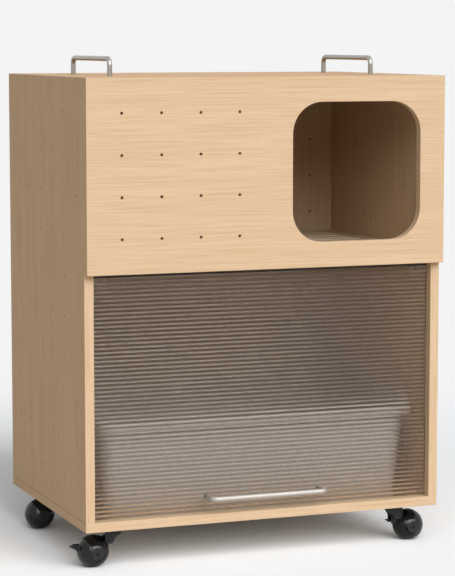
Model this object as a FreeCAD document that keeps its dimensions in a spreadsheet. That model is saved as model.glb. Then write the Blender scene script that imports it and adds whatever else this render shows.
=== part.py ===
"""Cat cabinet on ball casters: a boarded carcass with a lift-off lid and a ribbed clear flap."""
import FreeCAD, Part
import math
import os
import re

import Sketcher

doc = FreeCAD.newDocument("cat_cabinet")
sheet = doc.addObject("Spreadsheet::Sheet", "Dims")

# Driving dimensions, in millimetres, counts and degrees.
DIMENSIONS = (
    ("cabinet_width", 600, "width over the side panels"),
    ("side_depth", 416, "front edge to back edge of the side panels"),
    ("carcass_height", 700, "underside of the bottom board to the top of the sides"),
    ("board", 15, "thickness of every board"),
    ("arris", 0.7, "rounding of the boards' edges"),
    ("front_height", 300, "height of the upper front panel"),
    ("shelf_rise", 21, "shelf top above the front panel's lower edge"),
    ("floor_web", 37.5, "solid strip of the shelf from its middle to each cut-out"),
    ("floor_rail", 27.5, "solid strip of the shelf from each cut-out to the side panel"),
    ("entry_side", 220, "width and height of the entry"),
    ("entry_corner", 50, "corner radius of the entry"),
    ("passage_depth", 220, "depth of the passage in the shelf"),
    ("passage_corner", 50, "corner radius of the passage"),
    ("hole_pitch", 64, "spacing of the small holes"),
    ("hole_radius", 2.5, "radius of the small holes"),
    ("group_holes", 4, "rows and columns of a group of vent holes"),
    ("hole_margin", 36, "least distance of a side panel's holes from its edges"),
    ("slot_width", 8, "width of a floor slot"),
    ("slot_corner", 3.5, "corner radius of a floor slot"),
    ("slot_pitch", 32, "spacing of the floor slots"),
    ("slot_margin", 22, "least distance of a slot's middle from the shelf's edges"),
    ("dowel_radius", 4, "radius of the joint dowels"),
    ("dowel_bite", 10, "dowel length in the face of a board"),
    ("dowel_seat", 20, "dowel length in the edge of a board"),
    ("dowel_count", 3, "dowels along one board joint"),
    ("dowel_margin", 60, "outer dowels from the shelf's front and back edges"),
    ("back_dowel_margin", 100, "outer dowels from the back panel's ends"),
    ("front_dowel_margin", 40, "outer dowels from the front panel's ends"),
    ("cleat_width", 20, "width and height of a lid cleat"),
    ("cleat_length", 300, "length of a lid cleat"),
    ("lid_gap", 1.5, "gap round the lid"),
    ("handle_pitch", 192, "distance between a handle's legs"),
    ("handle_height", 31, "handle height over its seat"),
    ("handle_bend", 10, "bend radius of a handle at the rod's middle"),
    ("rod_radius", 4, "radius of the handle rod"),
    ("handle_inset", 60, "top handle from the lid's edge"),
    ("screw_radius", 2, "radius of a handle screw"),
    ("screw_head_radius", 4, "radius of a handle screw's head"),
    ("screw_head", 2.4, "height of a handle screw's head"),
    ("screw_bite", 12, "handle screw length in the leg"),
    ("door_setback", 10, "rib crests of the flap behind the sides' front edges"),
    ("sheet_thickness", 4, "thickness of the flap without its ribs"),
    ("rib_height", 2, "height of a rib"),
    ("rib_width", 6.3, "width of a rib at its foot"),
    ("rib_pitch", 6.7, "spacing of the ribs"),
    ("rib_edge", 4, "least distance of a rib's middle from the flap's edges"),
    ("handle_rib", 3, "ribs below the one that carries the handle"),
    ("door_gap", 2, "gap at the sides and foot of the flap"),
    ("door_lap", 1, "flap above the front panel's lower edge"),
    ("pivot_drop", 13, "flap pivot below the front panel's lower edge"),
    ("pivot_radius", 2.5, "radius of the flap's pivot pin"),
    ("barrel_radius", 4, "radius of the pivot bracket's barrel"),
    ("barrel_length", 12, "length of the pivot bracket's barrel"),
    ("bracket_width", 32, "width of a pivot bracket"),
    ("bracket_height", 16, "height of a pivot bracket"),
    ("bracket_thickness", 3, "thickness of a pivot bracket's plate"),
    ("bracket_screw_radius", 1.5, "radius of a bracket screw"),
    ("bracket_screw_head", 1.6, "height of a bracket screw's head"),
    ("bracket_screw_head_radius", 2.8, "radius of a bracket screw's head"),
    ("bracket_screw_bite", 3, "bracket screw length in the flap"),
    ("bracket_screw_pitch", 10, "distance between a bracket's screws"),
    ("bracket_screw_margin", 6, "inner bracket screw from the bracket's end"),
    ("bush_radius", 4, "outer radius of a pivot bush"),
    ("bush_length", 10, "length of a pivot bush in the side panel"),
    ("bush_flange", 1.2, "thickness of a bush's flange"),
    ("bush_flange_radius", 6, "radius of a bush's flange"),
    ("stop_width", 10, "width of a door stop"),
    ("stop_depth", 8, "depth of a door stop"),
    ("stop_height", 12, "height of a door stop"),
    ("tray_side_gap", 11, "tray rim from the side panels"),
    ("tray_back_gap", 14, "tray rim from the back panel"),
    ("tray_taper", 25, "tray rim beyond its foot, on every side"),
    ("tray_height", 147, "height of the tray"),
    ("tray_wall", 3, "wall of the tray"),
    ("tray_rim", 10, "overhang of the tray's rim"),
    ("tray_rim_drop", 12, "height of the rim's skirt"),
    ("tray_corner", 30, "corner radius of the tray at its top"),
    ("tray_base_corner", 18, "corner radius of the tray at its foot"),
    ("tray_setback", 11, "tray rim behind the flap"),
    ("caster_inset", 52, "swivel axes from the cabinet's sides, front and back panel"),
    ("caster_drop", 40.5, "wheel axle below the bottom board"),
    ("caster_trail", 24, "wheel axle from the swivel axis"),
    ("wheel_radius", 24.5, "radius of a ball wheel"),
    ("wheel_half", 20.5, "middle of a wheel to its flat side"),
    ("wheel_gap", 0.4, "gap between wheel and hood"),
    ("hood_wall", 1.4, "wall of the hood"),
    ("hood_cut", 8, "hood's open plane from the axle"),
    ("hood_cut_angle", 40, "tilt of the hood's open plane from level"),
    ("hub_radius", 10, "radius of the hood's hub disc"),
    ("axle_radius", 3, "radius of the wheel axle"),
    ("axle_recess", 0.8, "axle end below the hub disc"),
    ("plate_side", 42, "side of a caster plate"),
    ("plate_corner", 5, "corner radius of a caster plate"),
    ("plate_thickness", 2.5, "thickness of a caster plate"),
    ("plate_screw_pitch", 31, "distance between a plate's screws"),
    ("plate_screw_radius", 1.8, "radius of a plate screw"),
    ("plate_screw_head_radius", 3.6, "radius of a plate screw's head"),
    ("plate_screw_bite", 11, "plate screw length in the bottom board"),
    ("washer_radius", 14, "radius of a swivel washer"),
    ("washer_thickness", 1.5, "thickness of a swivel washer"),
    ("kingpin_radius", 3.5, "radius of a kingpin"),
    ("kingpin_bite", 12, "kingpin length in the neck"),
    ("neck_half", 14, "half the width of the neck"),
    ("neck_front", 9, "neck ahead of the swivel axis, towards the wheel"),
    ("neck_back", 18, "neck behind the swivel axis"),
    ("neck_end_drop", 12, "foot of the neck's back end below the bottom board"),
    ("neck_knee_back", 10, "neck's knee behind the swivel axis"),
    ("neck_knee_drop", 17, "neck's knee below the bottom board"),
    ("neck_heel_back", 3, "neck's heel behind the swivel axis"),
    ("neck_heel_drop", 28, "neck's heel below the bottom board"),
    ("pedal_half", 5, "half the width of a brake pedal"),
    ("pedal_reach", 38, "pedal tip from the wheel's axle"),
    ("pedal_tip_low", 8.6, "underside of the pedal's tip above the axle"),
    ("pedal_top", 10.6, "top of the pedal above the axle"),
    ("pedal_neck_reach", 33, "start of the pedal's thin tip from the axle"),
    ("pedal_shoe_reach", 25.6, "brake shoe from the axle"),
    ("pedal_shoe_low", 2.8, "foot of the brake shoe above the axle"),
    ("pedal_back_reach", 26.3, "pedal's inner top edge from the axle"),
    ("pedal_pivot_reach", 29.5, "pedal pivot from the axle"),
    ("pedal_pivot_rise", 8.2, "pedal pivot above the axle"),
    ("trunnion_radius", 1.5, "radius of the pedal's trunnion"),
    ("ear_thickness", 2.5, "thickness of a pedal ear"),
    ("ear_inner_reach", 20, "root of a pedal ear from the axle"),
    ("ear_outer_reach", 32, "edge of a pedal ear from the axle"),
    ("ear_low", 4.5, "foot of a pedal ear above the axle"),
    ("ear_top", 12, "top of a free pedal ear above the axle"),
    ("shoe_slot_low", 1, "foot of the shoe's slot in the hood above the axle"),
    ("fit_gap", 0.05, "radial clearance of a pin in its bore"),
    ("run_gap", 0.3, "clearance between pieces that move past each other"),
    ("overrun", 2, "how far a cut runs past the piece"),
)

# Lengths that follow from the driving dimensions.
DERIVED = {
    "half_width": "cabinet_width / 2",
    "inner_half": "half_width - board",
    "clear_depth": "side_depth - board",
    "front_low": "carcass_height - front_height",
    "front_mid": "front_low + front_height / 2",
    "cut_length": "inner_half - floor_web - floor_rail",
    "half_centre": "floor_web + cut_length / 2",
    "group_span": "(group_holes - 1) * hole_pitch",
    "top_row": "front_mid + group_span / 2",
    "side_hole_columns": "(floor((clear_depth - 2 * hole_margin) / hole_pitch) + 1)",
    "side_hole_rows": "(floor((top_row - board - hole_margin) / hole_pitch) + 1)",
    "slot_count": "(floor((clear_depth - 2 * slot_margin) / slot_pitch) + 1)",
    "shelf_top": "front_low + shelf_rise",
    "shelf_low": "shelf_top - board",
    "dowel_pitch": "(clear_depth - 2 * dowel_margin) / (dowel_count - 1)",
    "back_dowel_pitch": "(carcass_height - board - 2 * back_dowel_margin) / (dowel_count - 1)",
    "front_dowel_pitch": "(front_height - 2 * front_dowel_margin) / (dowel_count - 1)",
    "lid_low": "carcass_height - board",
    "handle_offset": "inner_half - lid_gap - handle_inset",
    "edge_middle": "half_width - board / 2",
    "ground": "caster_drop + wheel_radius",
    "front_reach": "handle_height - door_setback",
    "mid_depth": "(side_depth - front_reach) / 2",
    "sheet_half": "inner_half - door_gap",
    "sheet_front": "door_setback + rib_height",
    "sheet_back": "sheet_front + sheet_thickness",
    "sheet_low": "board + door_gap",
    "sheet_height": "front_low + door_lap - sheet_low",
    "rib_count": "(floor((sheet_height - 2 * rib_edge) / rib_pitch) + 1)",
    "rib_margin": "(sheet_height - (rib_count - 1) * rib_pitch) / 2",
    "rib_radius": "(rib_height ^ 2 + (rib_width / 2) ^ 2) / (2 * rib_height)",
    "door_handle_rise": "sheet_low + rib_margin + handle_rib * rib_pitch",
    "pivot_depth": "sheet_back + barrel_radius",
    "pivot_rise": "front_low - pivot_drop",
    "barrel_end": "inner_half - bush_flange - run_gap",
    "bracket_inner": "barrel_end - bracket_width",
    "tray_front": "sheet_back + tray_setback",
    "tray_top_width": "2 * (inner_half - tray_side_gap)",
    "tray_top_depth": "clear_depth - tray_front - tray_back_gap",
    "tray_base_width": "tray_top_width - 2 * tray_taper",
    "tray_base_depth": "tray_top_depth - 2 * tray_taper",
    "caster_middle": "clear_depth / 2",
    "caster_spacing_x": "cabinet_width - 2 * caster_inset",
    "caster_spacing_y": "clear_depth - 2 * caster_inset",
    "axle_low": "-caster_drop",
    "hood_inner": "wheel_radius + wheel_gap",
    "hood_outer": "hood_inner + hood_wall",
    "hub_face": "sqrt(hood_outer ^ 2 - hub_radius ^ 2)",
    "neck_top": "-(plate_thickness + washer_thickness + run_gap)",
    "ear_inner": "pedal_half + run_gap",
    "ear_outer": "ear_inner + ear_thickness",
}

for row, (alias, number, note) in enumerate(DIMENSIONS, start=1):
    sheet.set(f"A{row}", note)
    sheet.set(f"B{row}", str(number))
    sheet.setAlias(f"B{row}", alias)
doc.recompute()
ALIASES = {alias for alias, number, note in DIMENSIONS}


def expand(text):
    """Write out derived lengths and point each driving dimension at its cell."""
    def swap(match):
        word = match.group(0)
        if word in DERIVED:
            return f"({expand(DERIVED[word])})"
        return f"Dims.{word}" if word in ALIASES else word
    return re.sub(r"[A-Za-z_]\w*", swap, text)


def value(text):
    return float(sheet.evalExpression(expand(text)))


def bind(thing, name, text):
    thing.setExpression(name, expand(text))


def put(thing, at):
    for name, text in zip("xyz", at):
        bind(thing, f"Placement.Base.{name}", text)


def origin_part(body, role):
    return next(part for part in body.Origin.OriginFeatures if part.Role == role)


def new_body(name, at, axis=(0, 0, 1), turn=0):
    """A piece whose own origin stands at a place measured from the carcass.

    The carcass is measured from its middle, the sides' front edges and the bottom board's underside.
    """
    body = doc.addObject("PartDesign::Body", name)
    body.Label = name
    body.Placement = FreeCAD.Placement(FreeCAD.Vector(), FreeCAD.Rotation(FreeCAD.Vector(*axis), turn))
    put(body, (at[0], f"{at[1]} - mid_depth", f"{at[2]} + ground"))
    return body


def new_sketch(body, name, role):
    sketch = body.newObject("Sketcher::SketchObject", f"{body.Label}_{name}")
    sketch.AttachmentSupport = [(origin_part(body, role), "")]
    sketch.MapMode = "FlatFace"
    return sketch


def limit(sketch, kind, *rest):
    """Add a constraint whose last item is the expression that drives it."""
    number = sketch.addConstraint(Sketcher.Constraint(kind, *rest[:-1], value(rest[-1])))
    bind(sketch, f"Constraints[{number}]", rest[-1])


def tie(sketch, line, end, x, y):
    """Bind a point's distances from the sketch's origin."""
    limit(sketch, "DistanceX", -1, 1, line, end, x)
    limit(sketch, "DistanceY", -1, 1, line, end, y)


def spot(x, y):
    return FreeCAD.Vector(value(x), value(y), 0)


def polygon(sketch, corners):
    """A closed outline of straight lines with every corner bound."""
    first = sketch.GeometryCount
    count = len(corners)
    for index, corner in enumerate(corners):
        following = corners[(index + 1) % count]
        sketch.addGeometry(Part.LineSegment(spot(*corner), spot(*following)))
    for index, corner in enumerate(corners):
        after = first + (index + 1) % count
        sketch.addConstraint(Sketcher.Constraint("Coincident", first + index, 2, after, 1))
        tie(sketch, first + index, 1, *corner)


def rectangle(sketch, low, high):
    polygon(sketch, (low, (high[0], low[1]), high, (low[0], high[1])))


def rounded(sketch, middle, width, height, corner):
    """A rectangle about a middle point, with four equal round corners."""
    first = sketch.GeometryCount
    x, y = value(middle[0]), value(middle[1])
    reach_x, reach_y, radius = value(width) / 2, value(height) / 2, value(corner)
    signs = ((1, 1), (-1, 1), (-1, -1), (1, -1))
    centres = [
        FreeCAD.Vector(x + a * (reach_x - radius), y + b * (reach_y - radius), 0) for a, b in signs
    ]
    quarter = math.pi / 2
    for index, centre in enumerate(centres):
        circle = Part.Circle(centre, FreeCAD.Vector(0, 0, 1), radius)
        sketch.addGeometry(Part.ArcOfCircle(circle, index * quarter, (index + 1) * quarter))
    for index in range(4):
        start = sketch.getPoint(first + index, 2)
        end = sketch.getPoint(first + (index + 1) % 4, 1)
        sketch.addGeometry(Part.LineSegment(start, end))
    for index in range(4):
        line = first + 4 + index
        sketch.addConstraint(Sketcher.Constraint("Tangent", first + index, 2, line, 1))
        sketch.addConstraint(Sketcher.Constraint("Tangent", line, 2, first + (index + 1) % 4, 1))
        if index:
            sketch.addConstraint(Sketcher.Constraint("Equal", first, first + index))
    for line, kind in ((4, "Horizontal"), (5, "Vertical"), (6, "Horizontal"), (7, "Vertical")):
        sketch.addConstraint(Sketcher.Constraint(kind, first + line))
    limit(sketch, "Radius", first, corner)
    limit(sketch, "DistanceY", -1, 1, first + 4, 1, f"{middle[1]} + ({height}) / 2")
    limit(sketch, "DistanceX", -1, 1, first + 5, 1, f"{middle[0]} - ({width}) / 2")
    limit(sketch, "DistanceY", -1, 1, first + 6, 1, f"{middle[1]} - ({height}) / 2")
    limit(sketch, "DistanceX", -1, 1, first + 7, 1, f"{middle[0]} + ({width}) / 2")


def pad(body, sketch, length, both_ways=False):
    feature = body.newObject("PartDesign::Pad", f"{sketch.Name}_pad")
    feature.Profile = sketch
    feature.Midplane = both_ways
    bind(feature, "Length", length)
    return feature


def ease_edges(body, feature):
    """Round every edge of a board a little, as sanding does."""
    fillet = body.newObject("PartDesign::Fillet", f"{body.Label}_arris")
    fillet.Base = (feature, [""])
    fillet.UseAllEdges = True
    bind(fillet, "Radius", "arris")


def slab(name, at, size):
    """A plain board from its lower front left corner."""
    body = new_body(name, at)
    sketch = new_sketch(body, "outline", "XY_Plane")
    rectangle(sketch, ("0", "0"), (size[0], size[1]))
    ease_edges(body, pad(body, sketch, size[2]))
    return body


TURN_TO = {
    "X": FreeCAD.Rotation(FreeCAD.Vector(0, 1, 0), 90),
    "Y": FreeCAD.Rotation(FreeCAD.Vector(1, 0, 0), -90),
    "Z": FreeCAD.Rotation(),
}


def rod(body, kind, along, at, radius, length):
    """A round bar or a round hole that starts at a point and runs along a main axis."""
    feature = body.newObject(f"PartDesign::{kind}Cylinder", f"{body.Label}_rod")
    feature.Placement = FreeCAD.Placement(FreeCAD.Vector(), TURN_TO[along])
    put(feature, at)
    bind(feature, "Radius", radius)
    bind(feature, "Height", length)
    return feature


def block(body, kind, at, size):
    feature = body.newObject(f"PartDesign::{kind}Box", f"{body.Label}_block")
    put(feature, at)
    for name, text in zip(("Length", "Width", "Height"), size):
        bind(feature, name, text)
    return feature


def cone(body, kind, at, low_radius, high_radius, height):
    feature = body.newObject(f"PartDesign::{kind}Cone", f"{body.Label}_cone")
    put(feature, at)
    bind(feature, "Radius1", low_radius)
    bind(feature, "Radius2", high_radius)
    bind(feature, "Height", height)
    return feature


def ball(body, kind, at, radius):
    feature = body.newObject(f"PartDesign::{kind}Sphere", f"{body.Label}_ball")
    put(feature, at)
    bind(feature, "Radius", radius)
    return feature


def turned(body, along, steps):
    """A stepped round piece on its own main axis; a step is a start, an end and a radius at each."""
    plane, spin = {"Y": ("YZ_Plane", "H_Axis"), "Z": ("XZ_Plane", "V_Axis")}[along]
    sketch = new_sketch(body, "profile", plane)
    corners = [("0", steps[0][0])]
    for start, end, start_radius, end_radius in steps:
        for corner in ((start_radius, start), (end_radius, end)):
            if corner != corners[-1]:
                corners.append(corner)
    corners.append(("0", steps[-1][1]))
    polygon(sketch, corners if along == "Z" else [(length, radius) for radius, length in corners])
    feature = body.newObject("PartDesign::Revolution", f"{body.Label}_turned")
    feature.Profile = sketch
    feature.ReferenceAxis = (sketch, [spin])
    return feature


def repeat(body, features, *runs):
    """Repeat features along main axes; a run is an axis, a count and a spacing."""
    steps = []
    for along, count, spacing in runs:
        step = doc.addObject("PartDesign::LinearPattern", f"{body.Label}_run")
        step.Direction = (origin_part(body, f"{along}_Axis"), [""])
        bind(step, "Occurrences", count)
        bind(step, "Length", f"({count} - 1) * ({spacing})")
        body.addObject(step)
        steps.append(step)
    pattern = body.newObject("PartDesign::MultiTransform", f"{body.Label}_pattern")
    pattern.Originals = features
    pattern.Transformations = steps
    body.Tip = pattern
    return pattern


def through(body, along, at, radius):
    """A round hole through one board thickness."""
    start = [f"{text} - overrun" if name == along else text for name, text in zip("XYZ", at)]
    return rod(body, "Subtractive", along, start, radius, "board + 2 * overrun")


def bore_row(body, along, at, length, run):
    """A row of dowel bores, each a little wider and deeper than its dowel."""
    bore = rod(body, "Subtractive", along, at, "dowel_radius + fit_gap", length)
    repeat(body, [bore], run)


DEPTH_DOWELS = ("Y", "dowel_count", "dowel_pitch")
BACK_DOWELS = ("Z", "dowel_count", "back_dowel_pitch")
FRONT_DOWELS = ("Z", "dowel_count", "front_dowel_pitch")
FACE_BORE = "dowel_bite + fit_gap"
EDGE_BORE = "dowel_seat + fit_gap"


def make_side(name, side):
    """A side panel; side is -1 on the left and 1 on the right."""
    outer = "-half_width" if side < 0 else "inner_half"
    panel = slab(name, (outer, "0", "board"), ("board", "side_depth", "carcass_height - board"))
    hole = through(
        panel, "X",
        ("0", "clear_depth / 2 - (side_hole_columns - 1) * hole_pitch / 2",
         "top_row - board - (side_hole_rows - 1) * hole_pitch"),
        "hole_radius")
    repeat(panel, [hole], ("Y", "side_hole_columns", "hole_pitch"), ("Z", "side_hole_rows", "hole_pitch"))
    inner_face = "board - dowel_bite - fit_gap" if side < 0 else "0"
    bore_row(panel, "Z", ("board / 2", "dowel_margin", "0"), EDGE_BORE, DEPTH_DOWELS)
    shelf_row = (inner_face, "dowel_margin", "shelf_low + board / 2 - board")
    bore_row(panel, "X", shelf_row, FACE_BORE, DEPTH_DOWELS)
    back_row = (inner_face, "side_depth - board / 2", "back_dowel_margin")
    bore_row(panel, "X", back_row, FACE_BORE, BACK_DOWELS)
    front_row = ("board / 2", "0", "front_low + front_dowel_margin - board")
    bore_row(panel, "Y", front_row, EDGE_BORE, FRONT_DOWELS)
    bush_start = "board - bush_length - fit_gap" if side < 0 else "0"
    rod(panel, "Subtractive", "X", (bush_start, "pivot_depth", "pivot_rise - board"),
        "bush_radius + fit_gap", "bush_length + fit_gap")
    return panel


def make_bottom_board():
    base = slab("bottom_board", ("-half_width", "0", "0"), ("cabinet_width", "side_depth", "board"))
    bore = rod(base, "Subtractive", "Z", ("board / 2", "dowel_margin", "board - dowel_bite - fit_gap"),
               "dowel_radius + fit_gap", FACE_BORE)
    repeat(base, [bore], ("X", "2", "cabinet_width - board"), DEPTH_DOWELS)
    pilot = rod(base, "Subtractive", "Z",
                ("half_width - caster_spacing_x / 2 - plate_screw_pitch / 2",
                 "caster_middle - caster_spacing_y / 2 - plate_screw_pitch / 2", "0"),
                "plate_screw_radius + fit_gap", "plate_screw_bite + fit_gap")
    repeat(base, [pilot], ("X", "2", "plate_screw_pitch"), ("Y", "2", "plate_screw_pitch"),
           ("X", "2", "caster_spacing_x"), ("Y", "2", "caster_spacing_y"))
    return base


def make_back_panel():
    back = slab("back_panel", ("-inner_half", "clear_depth", "board"),
                ("2 * inner_half", "board", "carcass_height - board"))
    hole = through(back, "Y",
                   ("inner_half - half_centre - group_span / 2", "0", "top_row - group_span - board"),
                   "hole_radius")
    repeat(back, [hole], ("X", "group_holes", "hole_pitch"), ("Z", "group_holes", "hole_pitch"),
           ("X", "2", "2 * half_centre"))
    for start in ("0", "2 * inner_half - dowel_seat - fit_gap"):
        bore_row(back, "X", (start, "board / 2", "back_dowel_margin"), EDGE_BORE, BACK_DOWELS)
    return back


def make_front_panel():
    front = new_body("front_panel", ("0", "0", "front_low"))
    outline = new_sketch(front, "outline", "XZ_Plane")
    rectangle(outline, ("-half_width", "0"), ("half_width", "front_height"))
    rounded(outline, ("half_centre", "front_height / 2"), "entry_side", "entry_side", "entry_corner")
    ease_edges(front, pad(front, outline, "board"))
    hole = through(front, "Y",
                   ("-half_centre - group_span / 2", "-board", "front_height / 2 - group_span / 2"),
                   "hole_radius")
    repeat(front, [hole], ("X", "group_holes", "hole_pitch"), ("Z", "group_holes", "hole_pitch"))
    bore = rod(front, "Subtractive", "Y", ("-edge_middle", "-dowel_bite - fit_gap", "front_dowel_margin"),
               "dowel_radius + fit_gap", FACE_BORE)
    repeat(front, [bore], ("X", "2", "2 * edge_middle"), FRONT_DOWELS)
    return front


def make_shelf():
    """The upper floor: a passage in the left half and litter slots under the entry."""
    shelf = new_body("shelf", ("0", "0", "shelf_low"))
    outline = new_sketch(shelf, "outline", "XY_Plane")
    rectangle(outline, ("-inner_half", "0"), ("inner_half", "clear_depth"))
    rounded(outline, ("-half_centre", "clear_depth / 2"), "cut_length", "passage_depth", "passage_corner")
    ease_edges(shelf, pad(shelf, outline, "board"))
    slot_outline = new_sketch(shelf, "slot", "XY_Plane")
    rounded(slot_outline, ("half_centre", "clear_depth / 2 - (slot_count - 1) * slot_pitch / 2"),
            "cut_length", "slot_width", "slot_corner")
    slot = shelf.newObject("PartDesign::Pocket", "shelf_slot_pocket")
    slot.Profile = slot_outline
    slot.Type = "ThroughAll"
    slot.Reversed = True
    repeat(shelf, [slot], ("Y", "slot_count", "slot_pitch"))
    for start in ("-inner_half", "inner_half - dowel_seat - fit_gap"):
        bore_row(shelf, "X", (start, "dowel_margin", "board / 2"), EDGE_BORE, DEPTH_DOWELS)
    return shelf


def make_dowels(name, along, at, *runs):
    group = new_body(name, at)
    peg = rod(group, "Additive", along, ("0", "0", "0"), "dowel_radius", "dowel_bite + dowel_seat")
    repeat(group, [peg], *runs)
    return group


def make_all_dowels():
    reach = "inner_half - dowel_seat"
    make_dowels("dowels_bottom", "Z", ("-edge_middle", "dowel_margin", "board - dowel_bite"),
                ("X", "2", "2 * edge_middle"), DEPTH_DOWELS)
    for name, depth, rise, run in (
            ("dowels_shelf", "dowel_margin", "shelf_low + board / 2", DEPTH_DOWELS),
            ("dowels_back", "side_depth - board / 2", "board + back_dowel_margin", BACK_DOWELS)):
        make_dowels(name, "X", ("-inner_half - dowel_bite", depth, rise),
                    ("X", "2", f"{reach} + inner_half + dowel_bite"), run)
    make_dowels("dowels_front", "Y", ("-edge_middle", "-dowel_bite", "front_low + front_dowel_margin"),
                ("X", "2", "2 * edge_middle"), FRONT_DOWELS)


def make_cleats():
    for name, start in (("lid_cleat_left", "-inner_half"), ("lid_cleat_right", "inner_half - cleat_width")):
        slab(name, (start, "(clear_depth - cleat_length) / 2", "lid_low - cleat_width"),
             ("cleat_width", "cleat_length", "cleat_width"))


def make_handle(name, at, axis=(0, 0, 1), turn=0):
    """A bent rod with two legs; its own Z runs up the legs and its own X along the bar."""
    handle = new_body(name, at, axis, turn)
    path = new_sketch(handle, "path", "XZ_Plane")
    half, bar = "handle_pitch / 2", "handle_height - rod_radius"
    bend_start, inset = f"{bar} - handle_bend", f"{half} - handle_bend"
    sag = "handle_bend * (1 - sqrt(0.5))"
    left_foot, left_top = spot(f"-{half}", "0"), spot(f"-{half}", bend_start)
    bar_left, bar_right = spot(f"-({inset})", bar), spot(inset, bar)
    right_top, right_foot = spot(half, bend_start), spot(half, "0")
    left_mid, right_mid = spot(f"{sag} - {half}", f"{bar} - {sag}"), spot(f"{half} - {sag}", f"{bar} - {sag}")
    path.addGeometry(Part.LineSegment(left_foot, left_top))
    path.addGeometry(Part.Arc(left_top, left_mid, bar_left))
    path.addGeometry(Part.LineSegment(bar_left, bar_right))
    path.addGeometry(Part.Arc(bar_right, right_mid, right_top))
    path.addGeometry(Part.LineSegment(right_top, right_foot))
    for arc in (1, 3):
        path.addConstraint(Sketcher.Constraint("Tangent", arc - 1, 2, arc, 2))
        path.addConstraint(Sketcher.Constraint("Tangent", arc, 1, arc + 1, 1))
        limit(path, "Radius", arc, "handle_bend")
    path.addConstraint(Sketcher.Constraint("Vertical", 0))
    path.addConstraint(Sketcher.Constraint("Vertical", 4))
    tie(path, 0, 1, f"-{half}", "0")
    tie(path, 4, 2, half, "0")
    limit(path, "DistanceY", -1, 1, 2, 1, bar)
    section = new_sketch(handle, "section", "XY_Plane")
    section.addGeometry(Part.Circle(left_foot, FreeCAD.Vector(0, 0, 1), value("rod_radius")))
    limit(section, "Radius", 0, "rod_radius")
    tie(section, 0, 3, f"-{half}", "0")
    bend = handle.newObject("PartDesign::AdditivePipe", f"{name}_bend")
    bend.Profile = section
    bend.Spine = path
    thread = rod(handle, "Subtractive", "Z", (f"-{half}", "0", "0"),
                 "screw_radius + fit_gap", "screw_bite + fit_gap")
    repeat(handle, [thread], ("X", "2", "handle_pitch"))
    return handle


def make_lid():
    width, depth = "(2 * inner_half - 2 * lid_gap)", "(clear_depth - 2 * lid_gap)"
    lid = slab("lid", (f"-{width} / 2", "lid_gap", "lid_low"), (width, depth, "board"))
    hole = through(lid, "Z", (f"{width} / 2 - handle_offset", f"{depth} / 2 - handle_pitch / 2", "0"),
                   "screw_radius + fit_gap")
    repeat(lid, [hole], ("X", "2", "2 * handle_offset"), ("Y", "2", "handle_pitch"))
    for name, offset in (("top_handle_left", "-handle_offset"), ("top_handle_right", "handle_offset")):
        make_handle(name, (offset, "clear_depth / 2", "carcass_height"), turn=90)
    first_screw = ("-handle_offset", "clear_depth / 2 - handle_pitch / 2", "lid_low")
    screws = new_body("top_handle_screws", first_screw)
    screw = turned(screws, "Z", (
        ("-screw_head", "0", "screw_head_radius", "screw_head_radius"),
        ("0", "board + screw_bite", "screw_radius", "screw_radius")))
    repeat(screws, [screw], ("X", "2", "2 * handle_offset"), ("Y", "2", "handle_pitch"))


def make_door_sheet():
    """The clear flap: a flat sheet with half-round ribs across its front."""
    door = new_body("door_sheet", ("-sheet_half", "sheet_front", "sheet_low"))
    outline = new_sketch(door, "outline", "XY_Plane")
    rectangle(outline, ("0", "0"), ("2 * sheet_half", "sheet_thickness"))
    pad(door, outline, "sheet_height")
    rib_outline = new_sketch(door, "rib", "YZ_Plane")
    low, high, crest = "rib_margin - rib_width / 2", "rib_margin + rib_width / 2", "-rib_height"
    rib_outline.addGeometry(Part.LineSegment(spot("0", low), spot("0", high)))
    rib_outline.addGeometry(Part.Arc(spot("0", high), spot(crest, "rib_margin"), spot("0", low)))
    rib_outline.addConstraint(Sketcher.Constraint("Coincident", 0, 2, 1, 1))
    rib_outline.addConstraint(Sketcher.Constraint("Coincident", 0, 1, 1, 2))
    tie(rib_outline, 0, 1, "0", low)
    tie(rib_outline, 0, 2, "0", high)
    limit(rib_outline, "Radius", 1, "rib_radius")
    rib = pad(door, rib_outline, "2 * sheet_half")
    repeat(door, [rib], ("Z", "rib_count", "rib_pitch"))
    hole = rod(door, "Subtractive", "Y",
               ("sheet_half - handle_pitch / 2", "-rib_height - overrun", "door_handle_rise - sheet_low"),
               "screw_radius + fit_gap", "sheet_thickness + rib_height + 2 * overrun")
    repeat(door, [hole], ("X", "2", "handle_pitch"))
    tapped = rod(door, "Subtractive", "Y",
                 ("sheet_half - barrel_end + barrel_length + bracket_screw_margin",
                  "sheet_thickness - bracket_screw_bite - fit_gap", "pivot_rise - sheet_low"),
                 "bracket_screw_radius + fit_gap", "bracket_screw_bite + fit_gap")
    repeat(door, [tapped], ("X", "2", "bracket_screw_pitch"),
           ("X", "2", "2 * (barrel_end - barrel_length - bracket_screw_margin) - bracket_screw_pitch"))
    return door


def make_door_handle():
    seat = "door_setback"
    make_handle("door_handle", ("0", seat, "door_handle_rise"), axis=(1, 0, 0), turn=90)
    screws = new_body("door_handle_screws", ("-handle_pitch / 2", "sheet_back", "door_handle_rise"))
    screw = turned(screws, "Y", (
        (f"{seat} - sheet_back - screw_bite", "0", "screw_radius", "screw_radius"),
        ("0", "screw_head", "screw_head_radius", "screw_head_radius")))
    repeat(screws, [screw], ("X", "2", "handle_pitch"))


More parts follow.
